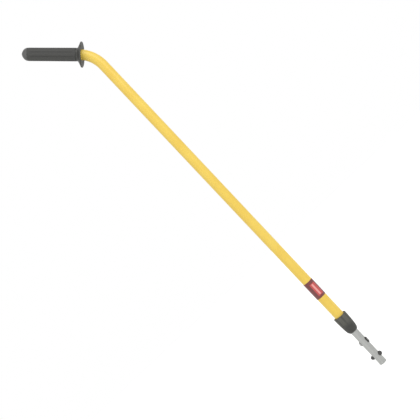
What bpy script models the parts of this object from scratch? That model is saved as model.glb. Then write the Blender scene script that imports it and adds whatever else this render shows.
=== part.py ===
"""Telescopic extension pole with a bent end, a swivelling hand grip and a snap-in tip.

Metres, +Z up. The origin is the centre of the tip's end face. The pole stands on its tip along +Z,
bends in the XZ plane and carries its grip towards -X. It is modelled closed, at its shortest.
"""

from math import cos, pi, radians, sin, sqrt, tan

import bmesh
import bpy
from mathutils import Matrix, Vector

# Clearances
RUNNING_GAP = 0.0003
SEAT_GAP = 0.0003
PIN_GAP = 0.0003
# How far a cutting body runs on past what it cuts
CUT_OVERRUN = 0.0050

# Tubes
OUTER_TUBE_DIAMETER = 0.0254
OUTER_TUBE_WALL = 0.0012
INNER_TUBE_DIAMETER = 0.01905
INNER_TUBE_WALL = 0.0012

# Lengths along the pole, closed
TIP_LENGTH = 0.1037
AXIS_CORNER_HEIGHT = 1.0139
TRAVEL = 0.610

# Bend and grip, measured along the grip's axis from the corner where the two axes meet
BEND_ANGLE = radians(46.4)
BEND_RADIUS = 0.0825
GUARD_DISTANCE = 0.0284
GRIP_BODY_START = 0.0411
GRIP_BODY_LENGTH = 0.1155
END_CAP_LENGTH = 0.0155

# How far the tip's fittings are turned about the pole, from +X towards -Y
TIP_TURN = radians(25)

# Snap buttons and their clip, which sits a little to one side in the tube
BUTTON_DIAMETER = 0.0116
BUTTON_HEIGHT = 0.0232
BUTTON_RIGHT_PROUD = 0.0060
BUTTON_LEFT_PROUD = 0.0078
BUTTON_HOLE_GAP = 0.0005
BUTTON_FOOT_DIAMETER = 0.0064
CLIP_THICKNESS = 0.0010
CLIP_WIDTH = 0.0060
CLIP_BOW_RADIUS = 0.0022
CLIP_WALL_GAP = 0.0003

# Key, its rivet and the plugs inside the tip
KEY_HEIGHT = 0.0678
KEY_LENGTH = 0.0158
KEY_WIDTH = 0.0085
KEY_PROUD = 0.0020
KEY_EDGE = 0.0008
RIVET_DIAMETER = 0.0040
RIVET_HEAD_DIAMETER = 0.0140
RIVET_HEAD_PROUD = 0.0033
RIVET_SEAT_DEPTH = 0.0022
BACKING_BELOW_RIVET = 0.0080
BACKING_ABOVE_RIVET = 0.0110
END_PLUG_LENGTH = 0.0120
PLUG_CHAMFER = 0.0008

# Guide bush on the inner tube and throat bush in the outer one
GUIDE_BUSH_LENGTH = 0.0450
GUIDE_CAP_THICKNESS = 0.0025
GUIDE_VENT_DIAMETER = 0.0100
GUIDE_PIN_DIAMETER = 0.0030
GUIDE_PIN_DROP = 0.0120
THROAT_BUSH_LENGTH = 0.0430
THROAT_FLANGE = 0.0020
BUSH_CHAMFER = 0.0006

# Twist lock
COLLAR_LENGTH = 0.0503
COLLAR_NOSE_DIAMETER = 0.0220
COLLAR_SHOULDER_DIAMETER = 0.0293
COLLAR_RIM_DIAMETER = 0.0353
COLLAR_NOSE_LENGTH = 0.0070
COLLAR_RIM_ROUND = 0.0018
COLLAR_LIP = 0.0016
FLUTE_COUNT = 8
FLUTE_DEPTH = 0.0011
FLUTE_START = 0.0170
FLUTE_FADE = 0.0191
# Shapes without a unit: the nose's roundness, the taper's swell and the flutes' sharpness
COLLAR_NOSE_CROWN = 0.62
COLLAR_TAPER_POWER = 0.85
FLUTE_POWER = 1.5
WIPER_HEIGHT = 0.0030
WIPER_WIDTH = 0.0010
FERRULE_WALL = 0.0010
FERRULE_SET_BACK = 0.0015
FINGER_LENGTH = 0.0220
FINGER_TIP_WALL = 0.0020
FINGER_COUNT = 6
FINGER_SLOT = 0.0016
FERRULE_SHOULDER = 0.0040
FERRULE_PIN_DIAMETER = 0.0032
FERRULE_PIN_RISE = 0.0025

# Label band
LABEL_START = 0.2173
LABEL_LENGTH = 0.0484
LABEL_THICKNESS = 0.00025

# Swivelling grip
GRIP_DIAMETER = 0.0322
GRIP_TAPER = 0.0003
GRIP_CORE_WALL = 0.0010
GRIP_FLUTE_COUNT = 9
GRIP_FLUTE_DEPTH = 0.0006
GRIP_FLUTE_FADE = 0.0120
GRIP_EDGE = 0.0008
GUARD_DIAMETER = 0.0620
GUARD_THICKNESS = 0.0050
GUARD_ROOT_THICKNESS = 0.0054
GUARD_EDGE = 0.0020
GUARD_DISH = 0.0051
GUARD_BORE_GAP = 0.0011
GUARD_NECK_WALL = 0.0016
CORE_SPIGOT = 0.0050

# Retention of the grip on the tube's end, inside the cap
TUBE_END_SET_BACK = 0.0106
END_PLUG_DEPTH = 0.0200
END_PLUG_FLANGE = 0.0017
CORE_SHOULDER = 0.0025
BOSS_DIAMETER = 0.0108
WASHER_DIAMETER = 0.0180
WASHER_THICKNESS = 0.0015
SCREW_DIAMETER = 0.0044
SCREW_HEAD_DIAMETER = 0.0090
SCREW_HEAD_HEIGHT = 0.0028
SCREW_HEAD_CROWN = 0.0013
SCREW_LENGTH = 0.0160
CAP_WALL = 0.0026
CAP_HOLLOW_RADIUS = 0.0045
CAP_SPIGOT_WALL = 0.0015
CAP_SPIGOT_LENGTH = 0.0040
# Above 1 the cap's dome is more pointed than a quarter ellipse
CAP_POINT = 1.3

# Number of flat sides round each kind of piece, and for each flute
TUBE_SIDES = 36
HIDDEN_SIDES = 32
SMALL_SIDES = 24
PIN_SIDES = 16
FLUTE_SIDES = 6
GRIP_FLUTE_SIDES = 5

# Number of steps along each curve
BEND_STEPS = 10
BOW_STEPS = 8
KEY_END_STEPS = 8
KEY_EDGE_STEPS = 3
RIVET_DOME_STEPS = 6
BUTTON_DOME_STEPS = 7
CAP_DOME_STEPS = 8
GUARD_EDGE_STEPS = 6
COLLAR_NOSE_STEPS = 4
COLLAR_BODY_STEPS = 8
# Places on the collar's rounded rim, as shares of its rounding
COLLAR_RIM_STEPS = (0.4, 0.1, 0)

# Edges that turn more than this are drawn sharp
SHARP_ANGLE = radians(35)

# Finishes: colour as sRGB hex, roughness, metallic
YELLOW_PAINT = ("F5CF5C", 0.35, 0.0)
BARE_ALUMINIUM = ("C3C4C5", 0.35, 1.0)
BLACK_PLASTIC = ("4A4A47", 0.55, 0.0)
CHARCOAL_PLASTIC = ("3A3A38", 0.50, 0.0)
SOFT_GRIP = ("4C4C4A", 0.75, 0.0)
CAP_GREY = ("626261", 0.60, 0.0)
PALE_NYLON = ("D8D6CE", 0.50, 0.0)
DARK_NYLON = ("616161", 0.50, 0.0)
TIP_GREY = ("ADADAD", 0.55, 0.0)
STEEL = ("AEB0B2", 0.35, 1.0)
LABEL_RED = ("B4474B", 0.40, 0.0)

# Sizes that follow from the ones above
outer_radius = OUTER_TUBE_DIAMETER / 2
outer_bore = outer_radius - OUTER_TUBE_WALL
inner_radius = INNER_TUBE_DIAMETER / 2
inner_bore = inner_radius - INNER_TUBE_WALL

collar_top = TIP_LENGTH + COLLAR_LENGTH
wiper_start = TIP_LENGTH + COLLAR_LIP + SEAT_GAP
finger_start = wiper_start + WIPER_HEIGHT + SEAT_GAP
slot_top = finger_start + FINGER_LENGTH
shoulder_top = slot_top + FERRULE_SHOULDER
throat_start = shoulder_top + SEAT_GAP
tube_start = throat_start + THROAT_FLANGE + SEAT_GAP
throat_top = throat_start + THROAT_BUSH_LENGTH
ferrule_radius = outer_radius + SEAT_GAP + FERRULE_WALL
ferrule_top = collar_top - FERRULE_SET_BACK
# The pins stand above the middle of the ferrule's hold on the tube
ferrule_pin_height = (tube_start + ferrule_top) / 2 + FERRULE_PIN_RISE

# At full travel the throat bush meets the guide bush's lower end
guide_start = throat_top + TRAVEL + RUNNING_GAP
inner_tube_top = guide_start + GUIDE_BUSH_LENGTH - SEAT_GAP

backing_start = KEY_HEIGHT - BACKING_BELOW_RIVET
backing_top = KEY_HEIGHT + BACKING_ABOVE_RIVET
clip_height = backing_start - SEAT_GAP - CLIP_BOW_RADIUS - CLIP_THICKNESS / 2
# The arm's flat strip is as far out as its width allows inside the round bore
arm_reach = sqrt(inner_bore**2 - (CLIP_WIDTH / 2) ** 2) - CLIP_WALL_GAP - CLIP_THICKNESS / 2

bend_tangent = BEND_RADIUS * tan(BEND_ANGLE / 2)
grip_end = GRIP_BODY_START + GRIP_BODY_LENGTH
tube_end = grip_end - TUBE_END_SET_BACK
core_outer = outer_radius + RUNNING_GAP + GRIP_CORE_WALL
core_bore = outer_radius + RUNNING_GAP
sleeve_bore = core_outer + SEAT_GAP
plug_flange_top = tube_end + SEAT_GAP + END_PLUG_FLANGE
core_shoulder_start = plug_flange_top + RUNNING_GAP
core_shoulder_top = core_shoulder_start + CORE_SHOULDER
boss_top = core_shoulder_top + RUNNING_GAP
washer_start = boss_top + SEAT_GAP
washer_top = washer_start + WASHER_THICKNESS
screw_head_start = washer_top + SEAT_GAP


def clear_scene():
    """Remove whatever the open file holds."""
    for obj in list(bpy.data.objects):
        bpy.data.objects.remove(obj, do_unlink=True)


def linear(channel):
    """One sRGB channel, 0 to 1, as linear light."""
    return channel / 12.92 if channel <= 0.04045 else ((channel + 0.055) / 1.055) ** 2.4


def dress(obj, finish):
    """Give the object a material of its own."""
    colour, roughness, metallic = finish
    material = bpy.data.materials.new(obj.name)
    material.use_nodes = True
    shader = material.node_tree.nodes["Principled BSDF"]
    channels = [linear(int(colour[i : i + 2], 16) / 255) for i in (0, 2, 4)]
    shader.inputs["Base Color"].default_value = (*channels, 1)
    shader.inputs["Roughness"].default_value = roughness
    shader.inputs["Metallic"].default_value = metallic
    obj.data.materials.append(material)


def add_axis(name, location, tilt=0.0, spin=0.0, parent=None):
    """An empty on an axis; tilt leans its Z from +Z to -X, spin turns its X from +X to -Y."""
    empty = bpy.data.objects.new(name, None)
    empty.location = location
    empty.rotation_euler = (0, -tilt, -spin)
    empty.parent = parent
    bpy.context.collection.objects.link(empty)
    return empty


def add_object(name, mesh, finish=None, parent=None):
    """Link a mesh as an object. Without a finish it is a cutter, and stays out of the render."""
    obj = bpy.data.objects.new(name, mesh)
    bpy.context.collection.objects.link(obj)
    obj.parent = parent
    if finish:
        dress(obj, finish)
        mesh.shade_smooth()
        mesh.set_sharp_from_angle(angle=SHARP_ANGLE)
    else:
        obj.hide_render = True
        obj.display_type = "WIRE"
    return obj


def skin(name, rings, finish=None, parent=None, hollow=False):
    """Join rings of points, in order, into one closed surface.

    A hollow piece runs up its outside and back down its inside; any other gets a face at each end.
    """
    shape = bmesh.new()
    loops = [[shape.verts.new(point) for point in ring] for ring in rings]
    following = loops[1:] + loops[:1] if hollow else loops[1:]
    for lower, upper in zip(loops, following):
        for i in range(len(lower)):
            j = (i + 1) % len(lower)
            shape.faces.new((lower[i], lower[j], upper[j], upper[i]))
    if not hollow:
        shape.faces.new(loops[0])
        shape.faces.new(loops[-1])
    bmesh.ops.recalc_face_normals(shape, faces=shape.faces)
    mesh = bpy.data.meshes.new(name)
    shape.to_mesh(mesh)
    shape.free()
    return add_object(name, mesh, finish, parent)


def turn(name, outline, finish=None, parent=None, sides=HIDDEN_SIDES):
    """Revolve an outline of (radius, height) points about Z.

    It runs down the outer side. One that starts and ends on the axis is solid; any other closes
    on itself and has a bore.
    """
    mesh = bpy.data.meshes.new(name)
    points = [(radius, 0, height) for radius, height in outline]
    edges = [(i, i + 1) for i in range(len(points) - 1)]
    if outline[0][0] > 0:
        edges.append((len(points) - 1, 0))
    mesh.from_pydata(points, edges, [])
    obj = add_object(name, mesh, finish, parent)
    screw = obj.modifiers.new("turn", "SCREW")
    screw.steps = sides
    screw.render_steps = sides
    screw.use_merge_vertices = True
    screw.merge_threshold = 0.00001
    screw.use_smooth_shade = True
    return obj


def lay_along(obj, axis, centre):
    """Turn a piece made about Z so that its Z points along axis, with its origin at centre."""
    turned = Vector(axis).to_track_quat("Z", "Y").to_matrix().to_4x4()
    obj.matrix_local = Matrix.Translation(centre) @ turned
    return obj


def rod(name, axis, centre, radius, start, end, finish=None, parent=None, sides=PIN_SIDES):
    """A round bar along axis, from start to end as measured from centre."""
    obj = turn(name, [(0, end), (radius, end), (radius, start), (0, start)], finish, parent, sides)
    return lay_along(obj, axis, centre)


def apply_boolean(obj, other, operation="DIFFERENCE"):
    """Cut the other object from this one, or join it on."""
    boolean = obj.modifiers.new(operation.lower(), "BOOLEAN")
    boolean.operation = operation
    boolean.solver = "EXACT"
    boolean.object = other


def dome(radius, base, rise, steps, point=1.0):
    """Outline of a dome, from its top on the axis down to its full radius at base."""
    outline = [(0, base + rise)]
    for i in range(steps - 1, -1, -1):
        angle = pi / 2 * i / steps
        outline.append((radius * cos(angle) ** point, base + rise * sin(angle)))
    return outline


def circle(radius, height, sides):
    """A level ring of points about Z."""
    angles = [2 * pi * i / sides for i in range(sides)]
    return [Vector((radius * cos(a), radius * sin(a), height)) for a in angles]


def make_key_parts(fittings):
    """The key on one side of the tip, the rivet whose head shows on the other, and their plug."""
    centre = Vector((0, 0, KEY_HEIGHT))
    rivet_radius = RIVET_DIAMETER / 2
    seat = inner_radius + SEAT_GAP
    tube_surface = rod("tip_cutter", (0, 0, 1), centre, seat, -KEY_LENGTH, KEY_LENGTH, sides=TUBE_SIDES)
    shank_end = inner_radius + RIVET_SEAT_DEPTH
    hole_radius = rivet_radius + PIN_GAP
    hole_end = shank_end + PIN_GAP
    hole = rod("rivet_cutter", (1, 0, 0), centre, hole_radius, -seat, hole_end, parent=fittings)

    plug_radius = inner_bore - SEAT_GAP
    outline = [
        (0, backing_top),
        (plug_radius - PLUG_CHAMFER, backing_top),
        (plug_radius, backing_top - PLUG_CHAMFER),
        (plug_radius, backing_start),
        (0, backing_start),
    ]
    apply_boolean(turn("backing_plug", outline, PALE_NYLON), hole)

    # The key is a slot-shaped pad, hollowed underneath to saddle the tube
    half_width = KEY_WIDTH / 2
    straight = KEY_LENGTH / 2 - half_width
    key_base = sqrt(inner_radius**2 - half_width**2) - KEY_EDGE
    key_top = inner_radius + KEY_PROUD

    def slot(x, inset):
        points = []
        for end, first in ((1, 0.0), (-1, pi)):
            for i in range(KEY_END_STEPS + 1):
                angle = first + pi * i / KEY_END_STEPS
                reach = half_width - inset
                height = KEY_HEIGHT + end * straight + reach * sin(angle)
                points.append(Vector((x, reach * cos(angle), height)))
        return points

    rings = [slot(key_base, 0)]
    for i in range(KEY_EDGE_STEPS + 1):
        angle = pi / 2 * i / KEY_EDGE_STEPS
        rings.append(slot(key_top - KEY_EDGE * (1 - sin(angle)), KEY_EDGE * (1 - cos(angle))))
    key = skin("key_pad", rings, CHARCOAL_PLASTIC, fittings)
    apply_boolean(key, tube_surface)
    apply_boolean(key, hole)

    # The rivet's head is a low dome that saddles the tube, with the shank joined on
    head_radius = RIVET_HEAD_DIAMETER / 2
    head_base = sqrt(inner_radius**2 - head_radius**2) - SEAT_GAP
    crown = dome(head_radius, seat, RIVET_HEAD_PROUD - SEAT_GAP, RIVET_DOME_STEPS)
    outline = [*crown, (head_radius, head_base), (0, head_base)]
    head = lay_along(turn("key_rivet", outline, STEEL, fittings), (-1, 0, 0), centre)
    apply_boolean(head, tube_surface)
    inside_head = -inner_radius - RIVET_HEAD_PROUD / 2
    shank = rod("rivet_shank", (1, 0, 0), centre, rivet_radius, inside_head, shank_end, parent=fittings)
    apply_boolean(head, shank, "UNION")
    return hole


def make_clip_bow(fittings):
    """The bend of the V-shaped spring clip: half a turn of flat strip."""
    rings = []
    for i in range(BOW_STEPS + 1):
        angle = pi * i / BOW_STEPS
        out = Vector((cos(angle), 0, sin(angle)))
        middle = Vector((0, 0, clip_height)) + out * CLIP_BOW_RADIUS
        side = Vector((0, CLIP_WIDTH / 2, 0))
        half = out * CLIP_THICKNESS / 2
        rings.append([middle + half + side, middle - half + side, middle - half - side, middle + half - side])
    skin("clip_bow", rings, CHARCOAL_PLASTIC, fittings)


def make_button_arm(name, side, proud, fittings):
    """One arm of the clip with its domed button; side is 1 for +X. Returns the cutter for its hole."""
    button_radius = BUTTON_DIAMETER / 2
    axis = add_axis(name + "_axis", (side * CLIP_BOW_RADIUS, 0, clip_height), parent=fittings)
    to_pole = Vector((side * CLIP_BOW_RADIUS, 0, clip_height))
    # The strip leaves the bend, reaches the wall above the button and ends behind its middle, which
    # with the button's narrow foot leaves room to press both buttons at once
    path = [
        Vector((side * CLIP_BOW_RADIUS, 0, clip_height - SEAT_GAP)),
        Vector((side * arm_reach, 0, BUTTON_HEIGHT + button_radius + CLIP_THICKNESS)),
        Vector((side * arm_reach, 0, BUTTON_HEIGHT - CLIP_THICKNESS / 2)),
    ]
    leg = (path[1] - path[0]).normalized()
    across = [Vector((leg.z, 0, -leg.x)), None, Vector((-1, 0, 0))]
    bisector = (across[0] + across[2]).normalized()
    across[1] = bisector / bisector.dot(across[0])
    width = Vector((0, CLIP_WIDTH / 2, 0))
    rings = []
    for point, direction in zip(path, across):
        half = direction * CLIP_THICKNESS / 2
        local = point - to_pole
        rings.append([local + half + width, local - half + width, local - half - width, local + half - width])
    arm = skin(name, rings, CHARCOAL_PLASTIC, axis)

    waist = sqrt(inner_radius**2 - button_radius**2)
    crown = dome(button_radius, inner_radius, proud, BUTTON_DOME_STEPS)
    outline = [*crown, (button_radius, waist), (BUTTON_FOOT_DIAMETER / 2, arm_reach), (0, arm_reach)]
    button = turn(name + "_button", outline, parent=fittings, sides=SMALL_SIDES)
    lay_along(button, (side, 0, 0), (0, 0, BUTTON_HEIGHT))
    apply_boolean(arm, button, "UNION")
    return rod(
        name + "_hole_cutter",
        (side, 0, 0),
        (0, 0, BUTTON_HEIGHT),
        button_radius + BUTTON_HOLE_GAP,
        inner_bore - CUT_OVERRUN,
        inner_radius + CUT_OVERRUN,
        parent=fittings,
        sides=SMALL_SIDES,
    )


def make_inner_section():
    """The bare tube that slides and snaps into a tool, with what it holds."""
    outline = [
        (inner_bore, inner_tube_top),
        (inner_radius, inner_tube_top),
        (inner_radius, 0),
        (inner_bore, 0),
    ]
    tube = turn("inner_tube", outline, BARE_ALUMINIUM, sides=TUBE_SIDES)
    fittings = add_axis("tip_fittings", (0, 0, 0), spin=TIP_TURN)
    apply_boolean(tube, make_key_parts(fittings))
    make_clip_bow(fittings)
    apply_boolean(tube, make_button_arm("button_arm_right", 1, BUTTON_RIGHT_PROUD, fittings))
    apply_boolean(tube, make_button_arm("button_arm_left", -1, BUTTON_LEFT_PROUD, fittings))

    plug_radius = inner_bore - SEAT_GAP
    outline = [
        (0, END_PLUG_LENGTH),
        (plug_radius - PLUG_CHAMFER, END_PLUG_LENGTH),
        (plug_radius, END_PLUG_LENGTH - PLUG_CHAMFER),
        (plug_radius, 0),
        (0, 0),
    ]
    turn("tip_end_plug", outline, TIP_GREY)

    # The guide bush is a sleeve over the tube's end, closed by a cap with a vent
    bush_radius = outer_bore - RUNNING_GAP
    bush_top = inner_tube_top + SEAT_GAP + GUIDE_CAP_THICKNESS
    outline = [
        (GUIDE_VENT_DIAMETER / 2, bush_top),
        (bush_radius - BUSH_CHAMFER, bush_top),
        (bush_radius, bush_top - BUSH_CHAMFER),
        (bush_radius, guide_start),
        (inner_radius + SEAT_GAP, guide_start),
        (inner_radius + SEAT_GAP, inner_tube_top + SEAT_GAP),
        (GUIDE_VENT_DIAMETER / 2, inner_tube_top + SEAT_GAP),
    ]
    bush = turn("guide_bush", outline, PALE_NYLON)
    centre = Vector((0, 0, inner_tube_top - GUIDE_PIN_DROP))
    pin_radius = GUIDE_PIN_DIAMETER / 2
    hole = rod("guide_pin_cutter", (0, 1, 0), centre, pin_radius + PIN_GAP, -outer_radius, outer_radius)
    apply_boolean(bush, hole)
    apply_boolean(tube, hole)
    reach = bush_radius - RUNNING_GAP
    rod("guide_pin", (0, 1, 0), centre, pin_radius, -reach, reach, STEEL)


def make_collar():
    """The twist collar: a taper with a rounded nose, flutes that run out, and a clamping cone inside."""
    nose = COLLAR_NOSE_DIAMETER / 2
    shoulder = COLLAR_SHOULDER_DIAMETER / 2
    rim = COLLAR_RIM_DIAMETER / 2
    sides = FLUTE_COUNT * FLUTE_SIDES
    axis = add_axis("collar_axis", (0, 0, TIP_LENGTH))

    def outer_ring(height):
        if height < COLLAR_NOSE_LENGTH:
            share = height / COLLAR_NOSE_LENGTH
            rise = (1 - COLLAR_NOSE_CROWN) * share + COLLAR_NOSE_CROWN * sin(pi / 2 * share)
            radius = nose + (shoulder - nose) * rise
        else:
            share = (height - COLLAR_NOSE_LENGTH) / (COLLAR_LENGTH - COLLAR_NOSE_LENGTH)
            radius = shoulder + (rim - shoulder) * sin(pi / 2 * share) ** COLLAR_TAPER_POWER
        to_rim = COLLAR_LENGTH - height
        if to_rim < COLLAR_RIM_ROUND:
            radius -= COLLAR_RIM_ROUND - sqrt(COLLAR_RIM_ROUND**2 - (COLLAR_RIM_ROUND - to_rim) ** 2)
        share = min(1, max(0, (height - FLUTE_START) / FLUTE_FADE))
        depth = FLUTE_DEPTH * share * share * (3 - 2 * share)
        ring = []
        for i in range(sides):
            angle = 2 * pi * i / sides
            groove = max(0, cos(FLUTE_COUNT * angle)) ** FLUTE_POWER
            local = radius - depth * groove
            ring.append(Vector((local * cos(angle), local * sin(angle), height)))
        return ring

    nose_step = COLLAR_NOSE_LENGTH / COLLAR_NOSE_STEPS
    body_step = (COLLAR_LENGTH - COLLAR_RIM_ROUND - COLLAR_NOSE_LENGTH) / COLLAR_BODY_STEPS
    heights = [nose_step * i for i in range(COLLAR_NOSE_STEPS + 1)]
    heights += [COLLAR_NOSE_LENGTH + body_step * i for i in range(1, COLLAR_BODY_STEPS + 1)]
    heights += [COLLAR_LENGTH - COLLAR_RIM_ROUND * share for share in COLLAR_RIM_STEPS]
    outside = [outer_ring(height) for height in heights]

    pocket = inner_radius + RUNNING_GAP + WIPER_WIDTH + SEAT_GAP
    cone_start = inner_radius + RUNNING_GAP + FINGER_TIP_WALL + RUNNING_GAP
    bore = ferrule_radius + RUNNING_GAP
    inside_outline = [
        (bore, COLLAR_LENGTH),
        (bore, slot_top - TIP_LENGTH),
        (cone_start, finger_start - TIP_LENGTH),
        (pocket, finger_start - TIP_LENGTH - SEAT_GAP / 2),
        (pocket, COLLAR_LIP),
        (inner_radius + RUNNING_GAP, COLLAR_LIP),
        (inner_radius + RUNNING_GAP, 0),
    ]
    inside = [circle(radius, height, sides) for radius, height in inside_outline]
    skin("lock_collar", outside + inside, BLACK_PLASTIC, axis, hollow=True)

    low = wiper_start - TIP_LENGTH
    wiper_bore = inner_radius + RUNNING_GAP
    outline = [
        (wiper_bore, low + WIPER_HEIGHT),
        (wiper_bore + WIPER_WIDTH, low + WIPER_HEIGHT),
        (wiper_bore + WIPER_WIDTH, low),
        (wiper_bore, low),
    ]
    turn("wiper_ring", outline, CHARCOAL_PLASTIC, axis, sides=SMALL_SIDES)


def make_ferrule(drill):
    """The sleeve on the tube's lower end, slotted into clamping fingers below its shoulder."""
    bore = inner_radius + RUNNING_GAP
    outline = [
        (outer_radius + SEAT_GAP, ferrule_top),
        (ferrule_radius, ferrule_top),
        (ferrule_radius, slot_top),
        (bore + FINGER_TIP_WALL, finger_start),
        (bore, finger_start),
        (bore, shoulder_top),
        (outer_radius + SEAT_GAP, shoulder_top),
    ]
    ferrule = turn("collet_ferrule", outline, DARK_NYLON, sides=FLUTE_COUNT * FLUTE_SIDES)
    apply_boolean(ferrule, drill)
    for i in range(FINGER_COUNT // 2):
        angle = pi * (i + 0.5) / (FINGER_COUNT // 2)
        out = Vector((cos(angle), sin(angle), 0)) * (ferrule_radius + CUT_OVERRUN)
        across = Vector((-sin(angle), cos(angle), 0)) * FINGER_SLOT / 2
        corners = [out + across, -out + across, -out - across, out - across]
        rings = [[corner + Vector((0, 0, height)) for corner in corners] for height in (TIP_LENGTH, slot_top)]
        apply_boolean(ferrule, skin(f"finger_slot_cutter_{i + 1}", rings))


def make_outer_tube(drill):
    """The painted tube: straight, bent towards -X, then straight again inside the grip."""
    arc_centre = Vector((-BEND_RADIUS, 0, AXIS_CORNER_HEIGHT - bend_tangent))
    far_direction = Vector((-sin(BEND_ANGLE), 0, cos(BEND_ANGLE)))
    stations = [(Vector((0, 0, tube_start)), 0.0), (Vector((0, 0, collar_top)), 0.0)]
    for i in range(BEND_STEPS + 1):
        angle = BEND_ANGLE * i / BEND_STEPS
        stations.append((arc_centre + Vector((cos(angle), 0, sin(angle))) * BEND_RADIUS, angle))
    corner = Vector((0, 0, AXIS_CORNER_HEIGHT))
    stations.append((corner + far_direction * tube_end, BEND_ANGLE))

    def ring(station, radius):
        middle, angle = station
        turned = Matrix.Rotation(-angle, 3, "Y")
        return [middle + turned @ point for point in circle(radius, 0, TUBE_SIDES)]

    outside = [ring(station, outer_radius) for station in stations]
    inside = [ring(station, outer_bore) for station in reversed(stations)]
    tube = skin("outer_tube", outside + inside, YELLOW_PAINT, hollow=True)
    apply_boolean(tube, drill)


def make_outer_section():
    """The painted tube with its lower fittings and its label."""
    centre = Vector((0, 0, ferrule_pin_height))
    pin_radius = FERRULE_PIN_DIAMETER / 2
    reach = ferrule_radius + CUT_OVERRUN
    drill = rod("ferrule_pin_cutter", (0, 1, 0), centre, pin_radius + PIN_GAP, -reach, reach)
    make_outer_tube(drill)
    make_ferrule(drill)

    bore = inner_radius + RUNNING_GAP
    bush_radius = outer_bore - SEAT_GAP
    flange_top = throat_start + THROAT_FLANGE
    outline = [
        (bore, throat_top),
        (bush_radius - BUSH_CHAMFER, throat_top),
        (bush_radius, throat_top - BUSH_CHAMFER),
        (bush_radius, flange_top),
        (outer_radius, flange_top),
        (outer_radius, throat_start),
        (bore, throat_start),
    ]
    apply_boolean(turn("throat_bush", outline, PALE_NYLON), drill)
    start = bore + RUNNING_GAP
    end = ferrule_radius - RUNNING_GAP
    for name, side in (("ferrule_pin_front", -1), ("ferrule_pin_back", 1)):
        rod(name, (0, side, 0), centre, pin_radius, start, end, STEEL)

    band_bore = outer_radius + SEAT_GAP
    outline = [
        (band_bore, LABEL_START + LABEL_LENGTH),
        (band_bore + LABEL_THICKNESS, LABEL_START + LABEL_LENGTH),
        (band_bore + LABEL_THICKNESS, LABEL_START),
        (band_bore, LABEL_START),
    ]
    turn("label_band", outline, LABEL_RED, sides=TUBE_SIDES)


def make_grip_retention(axis):
    """The plug, washer and screw on the tube's end that trap the grip and let it turn."""
    hole = SCREW_DIAMETER / 2 + PIN_GAP
    plug_radius = outer_bore - SEAT_GAP
    flange_start = tube_end + SEAT_GAP
    plug_start = tube_end - END_PLUG_DEPTH
    outline = [
        (hole, boss_top),
        (BOSS_DIAMETER / 2, boss_top),
        (BOSS_DIAMETER / 2, plug_flange_top),
        (outer_radius - SEAT_GAP, plug_flange_top),
        (outer_radius - SEAT_GAP, flange_start),
        (plug_radius, flange_start),
        (plug_radius, plug_start),
        (hole, plug_start),
    ]
    turn("tube_end_plug", outline, PALE_NYLON, axis)
    outline = [
        (hole, washer_top),
        (WASHER_DIAMETER / 2, washer_top),
        (WASHER_DIAMETER / 2, washer_start),
        (hole, washer_start),
    ]
    turn("retaining_washer", outline, STEEL, axis)
    head_top = screw_head_start + SCREW_HEAD_HEIGHT
    head = SCREW_HEAD_DIAMETER / 2
    shank_end = screw_head_start - SCREW_LENGTH
    outline = [
        (0, head_top),
        (head - SCREW_HEAD_CROWN, head_top),
        (head, head_top - SCREW_HEAD_CROWN),
        (head, screw_head_start),
        (SCREW_DIAMETER / 2, screw_head_start),
        (SCREW_DIAMETER / 2, shank_end),
        (0, shank_end),
    ]
    turn("retaining_screw", outline, STEEL, axis, sides=SMALL_SIDES)


def make_grip_sleeve(axis):
    """The soft cover, with shallow flutes that fade out at both ends."""
    sides = GRIP_FLUTE_COUNT * GRIP_FLUTE_SIDES
    start = GRIP_BODY_START + SEAT_GAP

    def outer_ring(height):
        along = (height - start) / (grip_end - start)
        radius = GRIP_DIAMETER / 2 - GRIP_TAPER * along
        from_end = min(height - start, grip_end - height)
        if from_end < GRIP_EDGE:
            radius -= GRIP_EDGE - sqrt(GRIP_EDGE**2 - (GRIP_EDGE - from_end) ** 2)
        share = min(1, from_end / GRIP_FLUTE_FADE)
        depth = GRIP_FLUTE_DEPTH * share * share * (3 - 2 * share)
        ring = []
        for i in range(sides):
            angle = 2 * pi * i / sides
            groove = max(0, cos(GRIP_FLUTE_COUNT * angle))
            local = radius - depth * groove
            ring.append(Vector((local * cos(angle), local * sin(angle), height)))
        return ring

    length = grip_end - start
    ends = [0, GRIP_EDGE * 0.4, GRIP_EDGE, GRIP_FLUTE_FADE / 3, GRIP_FLUTE_FADE * 2 / 3, GRIP_FLUTE_FADE]
    heights = [start + step for step in ends] + [start + length - step for step in reversed(ends)]
    outside = [outer_ring(height) for height in heights]
    inside = [circle(sleeve_bore, height, sides) for height in (grip_end, start)]
    skin("grip_sleeve", outside + inside, SOFT_GRIP, axis, hollow=True)


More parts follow.
